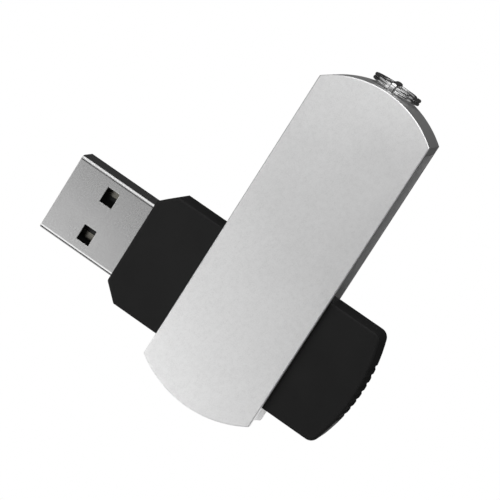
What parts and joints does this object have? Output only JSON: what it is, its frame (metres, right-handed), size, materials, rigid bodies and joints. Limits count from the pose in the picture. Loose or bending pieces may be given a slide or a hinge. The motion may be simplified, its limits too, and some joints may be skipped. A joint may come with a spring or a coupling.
{
  "type": "usb flash drive",
  "caption": "Swivel USB flash drive: a black body with a type A plug turns through a satin metal cover that carries a small split key ring on a bail.",
  "frame": {"origin": "centre of the plug's mouth, at mid height of the plug", "axes": "+Y out of the plug's mouth along the plug, +Z out of the front face with the plain cover plate, +X towards the split ring while the cover stands a quarter turn from the body"},
  "size_m": [0.0528, 0.0499, 0.0096],
  "materials": {
    "satin_aluminium": "fine bead-blasted satin",
    "black_plastic": "fine matte moulded texture",
    "plug_steel": "bright drawn sheet",
    "tongue_plastic": "smooth moulded black",
    "contact_gold": "gold-plated strip",
    "board_green": "solder mask over laminate",
    "chip_black": "moulded package",
    "ceramic": "fired ceramic",
    "can_metal": "plated metal lid",
    "bright_chrome": "polished plating"
  },
  "bodies": {
    "drive": {"body_front_shell": "black_plastic", "body_back_shell": "black_plastic", "plug_shell": "plug_steel", "plug_tongue": "tongue_plastic", "contact_power": "contact_gold", "contact_data_minus": "contact_gold", "contact_data_plus": "contact_gold", "contact_ground": "contact_gold", "circuit_board": "board_green", "flash_memory_chip": "chip_black", "controller_chip": "chip_black", "voltage_regulator": "chip_black", "crystal": "can_metal", "crystal_capacitors": "ceramic", "decoupling_capacitors": "ceramic", "supply_capacitor": "ceramic", "resistors": "chip_black"},
    "cover": {"cover": "satin_aluminium", "bail": "bright_chrome"},
    "ring": {"split_ring": "bright_chrome"}
  },
  "joints": [
    {"name": "cover_swivel", "type": "hinge", "parent": "drive", "child": "cover", "pos_m": [0, -0.0312, 0], "axis": [0, 0, 1], "continuous": true},
    {"name": "ring_swing", "type": "hinge", "parent": "cover", "child": "ring", "pos_m": [0.03735, -0.0312, 0.0011], "axis": [0, -1, 0], "range_deg": [0, 190]}
  ]
}
